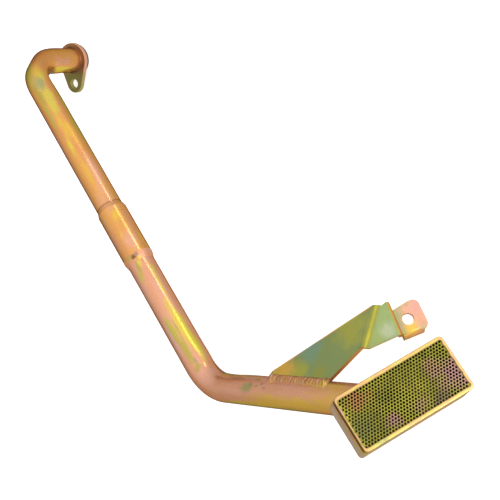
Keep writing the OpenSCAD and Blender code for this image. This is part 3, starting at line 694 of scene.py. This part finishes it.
# Back under the lip, round the plate's edge and along the inside to the hole, all dark with painted shade
ring(lip_short, 1.2 * mm, 0.02 * mm, 0.9, 1, lip_wide)
ring(0.8 * mm, 2.4 * mm, 0.02 * mm, 1.0)
ring(0.8 * mm, 2.4 * mm, -plate_t - 0.02 * mm, 1.0)
ring(neck_inset + hood_wall, 1.0 * mm, -plate_t - 0.02 * mm, 1.0)
ring(neck_inset + hood_wall, 1.0 * mm, shoulder_z, 1.0)
ring(body_inset + hood_wall, 1.8 * mm, shoulder_z - hood_wall, 1.0, 0)
ring(body_inset + hood_wall, 1.8 * mm, -hood_depth + roof_edge, 1.0, 0)
ring(body_inset + roof_edge, roof_corner, -hood_depth + hood_wall, 1.0, 0)
roof(roof_hole(roof_hole_r, -hood_depth + hood_wall), rows[-1], roof_shares[-2::-1], 1.0)

# The hem of the lip waves a little along its length: the rows near the third one past the lip's top move by
# up to 1% of their place
rows, dirt_and_shade = np.stack(rows), np.array(dirt_and_shade)
wave = np.sin(31 * signs[:, 0] + 17 * signs[:, 1]) * np.sin(11 * signs[:, 0] - 5 * signs[:, 1] + 1)
hem = hump(np.arange(len(rows)), np.argmax(rows[:, 0, 2] > lip_t - 0.02 * mm) + 3, 2.2)
rows[..., :2] *= 1 - 0.01 * (hem[:, None] * wave)[..., None]
hood = solid("strainer_hood_skin", [rows], [(True, True)])
darken_points(hood, np.repeat(dirt_and_shade, len(signs)))
# Painted reflection: the left end wall is made paler and greyer in three soft spots.
wall_reflection_spots = stains([((-44, y, -18), 15, 1.0, 0.9) for y in (-14, 0, 14)])
hood_metal = plated("plated_hood", tone=0.52, patch=1.5, streak=0.0, spots=wall_reflection_spots, straight=False,
                    shine=0.3, pale=0.3)
fitted(hood, "strainer_hood", hood_metal)

# Hood weld: a bead of filler laid round the tube on the hood's roof, which holds the strainer to the pipe.
# It is rippled from the torch's small steps and plated with the rest.
roof_bead, bead_sink = 3 * mm, 0.05 * mm
ripple = 0.25 * mm * np.sin(24 * np.linspace(0, 2 * np.pi, len(signs), endpoint=False))[:, None] ** 2


def bead_row(out, up, swell):
    """Row of the roof bead, `out` from the tube and `up` off the roof, moved out by swell * ripple."""
    base = roof_hole(tube_r + out, -hood_depth - up)
    ways = base - base.mean(0)
    return base + swell * ripple * ways / np.linalg.norm(ways, axis=1)[:, None]


rows = [bead_row(out, up, swell) for out, up, swell in (
    (-0.1 * mm, -bead_sink, 0), (roof_bead, -bead_sink, 1), (roof_bead, 0.3 * mm, 1),
    (0.85 * roof_bead, 1.2 * mm, 1), (0.6 * roof_bead, 2.2 * mm, 1), (0.25 * roof_bead, 3 * mm, 0.5),
    (-0.1 * mm, 3.2 * mm, 0))]
fitted(solid("hood_weld_skin", [np.stack(rows)], [(True, True)]), "hood_weld", weld_metal)

# Strainer plate: 1 mm sheet punched with a full field of 1.3 mm holes in staggered rows, so each hole has a
# soft rolled edge on the side of the punch; it is dropped in the hood's rim and held by the folded lip.
hole_pitch, hole_d, hole_rows, hole_cols, plate_play = 2.32 * mm, 1.3 * mm, 18, 35, 0.1 * mm
rolled_share, dish_depth = 1.22, 0.25 * mm
row_pitch = hole_pitch * np.sqrt(3) / 2
hole_r = rolled_share * hole_d / 2
plate_half = np.array([strainer_l / 2 - lip_t - plate_play, strainer_w / 2 - lip_t - plate_play])
j, i = np.meshgrid(np.arange(hole_rows), np.arange(hole_cols), indexing="ij")
centres = np.stack([(i - (hole_cols - 1) / 2 + (j % 2 - 0.5) / 2) * hole_pitch,
                    (j - (hole_rows - 1) / 2) * row_pitch], -1).reshape(-1, 1, 2)

# A cell is a brick round its hole, with points where the bricks of the next rows have theirs; the outer
# bricks reach to the plate's edge
brick = np.array([
    (-1, -1), (-0.5, -1), (0, -1), (0.5, -1), (1, -1), (1, 0), (1, 1), (0.5, 1), (0, 1), (-0.5, 1), (-1, 1),
    (-1, 0)]) * [hole_pitch / 2, row_pitch / 2]
outer = np.stack([(i == hole_cols - 1).astype(int) - (i == 0),
                  (j == hole_rows - 1).astype(int) - (j == 0)], -1).reshape(-1, 1, 2)
stretch = (outer != 0) & (np.sign(brick)[None] == outer)
edge = np.where(stretch, outer * plate_half, centres + brick)
way = np.arctan2(brick[:, 1], brick[:, 0])
spoke = hole_r * np.stack([np.cos(way), np.sin(way)], -1)


def ring_of(flat, z):
    """One ring of every cell, with the plate's slight dish, deepest in the middle:
    depth (1 - x^2) (1 - y^2) with x and y from -1 to 1 over the plate."""
    dish = dish_depth * (1 - (flat[..., 0] / plate_half[0]) ** 2) * (1 - (flat[..., 1] / plate_half[1]) ** 2)
    return np.concatenate([flat, (z - dish)[..., None]], -1)


# Rings of a cell, from the brick's edge over the rolled edge and down the hole, with their heights and their
# painted shade, about half on the plate's top and full down the holes
holes = [centres + k * spoke for k in (1.25, 1.04, 1, 1)]
ring_z = (0.0, 0.0, -0.07 * mm, -0.25 * mm, -plate_t, -plate_t)
ring_shade = np.array([0.48, 0.6, 0.95, 1.0, 1.0, 1.0])
cells = np.stack([ring_of(flat, z) for flat, z in zip((edge, *holes, edge), ring_z)], 1)
at = np.arange(cells[..., 0].size).reshape(cells.shape[:3])
nxt = np.roll(at, -1, 2)
quads = np.stack([at[:, :-1], nxt[:, :-1], nxt[:, 1:], at[:, 1:]], -1).reshape(-1, 4)
plate = shell("strainer_plate_skin", cells.reshape(-1, 3), quads, crease=50)
darken_points(plate, np.broadcast_to(ring_shade[:, None], cells.shape[:3]))
# Film spots; the dark brown one near the lower right edge, at (22, -17), is painted shade from the lip.
plate_film_and_shade = stains([
    ((-28, 12, 0), 11, 0.70, 0.85), ((34, -5, 0), 15, 0.92, 0.95), ((-15, -12, 0), 8, 0.90, 0.85),
    ((22, -17, 0), 11, 1.16, 0.75), ((-35, -6, 0), 12, 0.18, 0.8), ((26, 6, 0), 10, 0.86, 0.6),
    ((6, -12, 0), 9, 0.88, 0.5)])
plate_metal = plated("plated_plate", tone=0.285, patch=0.36, streak=0.0, spots=plate_film_and_shade, straight=False,
                     shine=0.4)
fitted(plate, "strainer_plate", plate_metal)

# Bracket: one blank of 3 mm sheet, bent into a ramp, a shelf, a step and a bolted tab with a folded lip;
# its sheared edges are square. The foot's edge is welded along the slanting leg. Plated greenish on the
# ramp, pinkish on the tab.
foot_turn, foot_offset, foot_near, foot_len = 179.0, 4 * mm, 62.5 * mm, 68 * mm
sheet_t, tab_turn = 3 * mm, -8
foot = leg @ spin(2, foot_turn)
sheet_ways = [foot[:3, 0], [0.0, 0.0, 1.0], spin(2, tab_turn)[:3, 0]]
sheet_spots = stains([
    ((-21.2, 72.5, -93.0), 17, 0.0, 0.85), ((-46.0, 71.0, -110.0), 18, 0.50, 0.85),
    ((-36.8, 62.5, -96.5), 12, 0.29, 0.7), ((-28.2, 51.9, -81.4), 9, 0.25, 0.6),
    ((9.3, 66.2, -64.9), 24, 0.30, 0.6), ((28.1, 49.2, -51.5), 9, 1.0, 0.25),
    ((57.0, 51.0, -59.5), 23, 0.84, 1.0), ((58.0, 55.0, -59.5), 9, 0.92, 0.5),
    ((47.0, 43.0, -59.5), 8, 0.46, 0.8)])
sheet_metal = plated("plated_bracket", tone=0.12, patch=0.14, streak=0.0, spots=sheet_spots, straight=False,
                     shine=0.34, worked=0.5, rag=0.9)
bracket = blanked("bracket", sheet_metal, edge=0.5 * mm, sheet=sheet_ways, grime_and_shade=0.0,
                  highlight_strip_w=1.1 * mm)

# The metal bulges at the two ends of the bend between ramp and shelf: along the bend by 2.2 mm at its upper
# end, where the bulge runs on into the shelf, and by 1 mm at its lower end
bend_way, bend_at, bend_half = np.array([0.734, 0.679, 0.0]), np.array([19.0, 58.0, -51.5]) * mm, 10 * mm
corners = np.zeros(3 * len(bracket.data.vertices))
bracket.data.vertices.foreach_get("co", corners)
corners = placed(corners.reshape(-1, 3), np.linalg.inv(lie))
u, w = (corners - bend_at) @ bend_way, (corners - bend_at) @ np.cross(bend_way, [0, 0, 1])
bulge = np.where(u > 0, 2.2 * mm * hump(w, 3 * mm, 9 * mm), 1.0 * mm * hump(w, 0, 6 * mm))
push = bulge * np.clip(u / bend_half, -1, 1)
bracket.data.vertices.foreach_set("co", placed(corners + push[:, None] * bend_way, lie).ravel())
bracket.data.update()

# Bracket weld: a broad bead that closes the corner between the foot and the tube, laid in overlapping
# pools, with a blob where the arc was struck and another where it was broken off.
foot_bead, pool, pool_lag, under_skin = 9 * mm, 3.4 * mm, 4.5 * mm, 0.3 * mm
foot_edge = np.sqrt(tube_r ** 2 - foot_offset ** 2)
top = np.array([foot_offset + sheet_t - 0.1 * mm, foot_edge + 1.0 * mm])
v = np.linspace(0, 1, 17)[:, None]
s = np.linspace(0, foot_len, 300)[None]

# The toe wanders on the tube; the pools are arcs across the bead whose steps drift, with lumps and two blobs
toe_turn = np.arcsin((foot_edge - foot_bead) / tube_r)
waver = toe_turn + 0.11 * np.sin(s / (4.3 * mm)) * np.sin(s / (9 * mm) + 0.7)
toe = tube_r * np.stack([np.cos(waver), np.sin(waver)], -1)
drift = 0.9 * mm * np.sin(s / (6.1 * mm)) + 0.6 * mm * np.sin(s / (2.7 * mm) + 1)
arch = np.abs(np.sin(np.pi * (s + 2.5 * mm * (2 * v - 1) ** 2 + drift) / pool))
lumps = 0.42 * mm * np.sin(s / (1.9 * mm) + 5 * v) * np.sin(s / (3.7 * mm) - 7 * v)
blobs = 2.2 * mm * hump(s, 3 * mm, 2 * mm) + 1.9 * mm * hump(s, foot_len - 4 * mm, 2.5 * mm)
run_out = np.sqrt(np.clip(1 - (2 * s / foot_len - 1) ** 16, 0, 1))
swell = 2.6 * v ** 0.6 * (1 - v) ** 1.1 * (0.8 * mm + 0.6 * mm * (arch - 0.6) + lumps + blobs) * run_out
side = toe.mean((0, 1)) - top
normal = np.array([-side[1], side[0]]) / np.linalg.norm(side)
face = top + (toe - top) * v[..., None] + swell[..., None] * normal

# The hidden back follows the tube just under its skin and ends behind the foot; two caps close the ends
back = np.linspace(toe_turn, np.arctan2(foot_edge, foot_offset), 6)
under = (tube_r - under_skin) * np.stack([np.cos(back), np.sin(back)], 1)
under = np.concatenate([under, [[foot_offset + under_skin, foot_edge + 0.6 * mm]]])
flat = np.concatenate([face, np.broadcast_to(under[:, None], (len(under), s.shape[1], 2))])
lag = np.concatenate([v, np.linspace(1, 0, len(under))[:, None]])
grid = np.concatenate([flat, (foot_near + s - pool_lag * lag)[..., None]], -1)
caps = [np.stack([grid[:, k], np.broadcast_to(grid[:, k].mean(0), grid[:, k].shape)]) for k in (0, -1)]
foot_weld = solid("bracket_weld_skin", [placed(g, foot) for g in (grid, *caps)],
                  [(True, False), (False, True), (False, True)])
# Painted shade: the hollows between the pools are darker, most near the foot, with a dark line along the
# bead's edge on the foot, and the hidden back and the caps are about half dark.
face_shade = 0.6 * (1 - arch) ** 2 * (1 - v) + 0.3 * hump(v, 0.0, 0.08)
back_shade = np.full((len(under), s.shape[1]), 0.5)
cap_shade = np.full(sum(c[..., 0].size for c in caps), 0.4)
grime_and_shade = np.clip(np.concatenate([face_shade, back_shade]), 0, 1)
darken_points(foot_weld, np.concatenate([grime_and_shade.ravel(), cap_shade]))
bead_spots = stains([((10, 7, at), *look) for at, *look in (
    (2, 7, 0.44, 0.9), (14, 4, 0.46, 0.8), (31, 3, 0.48, 0.6), (44, 4, 0.62, 0.7), (63, 6, 0.86, 0.9),
    (25, 3, 1.1, 0.6), (51, 3.5, 1.1, 0.5))], foot @ shift(0, 0, foot_near))
bead_metal = plated("plated_foot_weld", tone=0.72, patch=0.5, streak=0.0, spots=bead_spots, straight=False,
                    shine=0.32, pale=0.15)
fitted(foot_weld, "bracket_weld", bead_metal)

# Floor and light: the part lies on plain white paper that glows a little, so it stays white. A narrow strip
# lamp draws the highlight along the long run, a broad lamp fills from the side, and the room round them is
# bright, dimmer towards its lower half.
floor_half = 60
floor_mesh = bpy.data.meshes.new("floor")
floor_corners = [(x * floor_half, y * floor_half, 0) for x, y in ((-1, -1), (1, -1), (1, 1), (-1, 1))]
floor_mesh.from_pydata(floor_corners, [], [(0, 1, 2, 3)])
floor = put("floor", floor_mesh)
paper, add = bare_material("paper")
paper_look = {"Base Color": (0.9, 0.9, 0.9, 1), "Roughness": 0.9, "Emission Color": (1, 1, 1, 1),
              "Emission Strength": 0.65}
add("ShaderNodeOutputMaterial", {"Surface": add("ShaderNodeBsdfPrincipled", paper_look)[0]})
floor_mesh.materials.append(paper)
floor.visible_glossy = False

# The camera stands at the eye, turned from the strainer's axes by three angles in degrees
eye_roll, eye_yaw, eye_pitch = -30.406, 0.362, 19.470
view = lie @ shift(*eye) @ spin(2, eye_roll) @ spin(1, eye_yaw) @ spin(0, eye_pitch)
lens = bpy.data.cameras.new("camera")
lens.lens, lens.sensor_width = 68.4, 36
camera = put("camera", lens)
camera.matrix_world = Matrix(view.tolist())
bpy.context.scene.camera = camera
run_in_view = np.array([-0.57, 0.69, -0.45])


def soft_light(name, place, aim, size, watts):
    """Area light of a size (across, along) at a place in the camera's frame, aimed at a point on the
    object, in metres. Its length lies along the long run."""
    lamp = bpy.data.lights.new(name, "AREA")
    lamp.shape, lamp.size, lamp.size_y, lamp.energy = "RECTANGLE", *size, watts
    at = placed(np.array(place), view)
    back = at - aim
    pose = shift(*at)
    pose[:3, :3] = triad(back, np.cross(view[:3, :3] @ run_in_view, back))
    light = put(name, lamp)
    light.matrix_world = Matrix(pose.tolist())


middle = np.array([0.0, 0.0, 0.04])
soft_light("key", (0.16, 0.71, -0.41), middle, (0.06, 0.42), 0.42)
soft_light("side", (0.75, 0.15, 0.3), middle, (0.5, 0.5), 6)

# The room's brightness follows the height, leaning a little to the camera's right
lean_right, room_strength = 0.45, 1.09
sky = bpy.data.worlds.new("studio")
sky.use_nodes = True
add = partial(shader_node, sky.node_tree)
above = np.array([0.0, 0.0, 1.0]) + lean_right * view[:3, 0]
above = above / np.linalg.norm(above)
way = add("ShaderNodeTexCoord", {})["Generated"]
height = add("ShaderNodeVectorMath", {0: way, 1: above}, operation="DOT_PRODUCT")["Value"]
share = add("ShaderNodeMapRange", {"Value": height, "From Min": -1.0})[0]
glow = add("ShaderNodeValToRGB", {"Fac": share})["Color"]
stops = glow.node.color_ramp.elements
stops[0].color = (1, 1, 1, 1)
for stop, level in ((0.12, 0.7), (0.25, 0.52), (0.4, 0.48)):
    stops.new(stop).color = (level, level, level, 1)
room = sky.node_tree.nodes["Background"]
sky.node_tree.links.new(glow, room.inputs["Color"])
room.inputs["Strength"].default_value = room_strength
bpy.context.scene.world = sky
bpy.context.scene.view_settings.view_transform = "Standard"
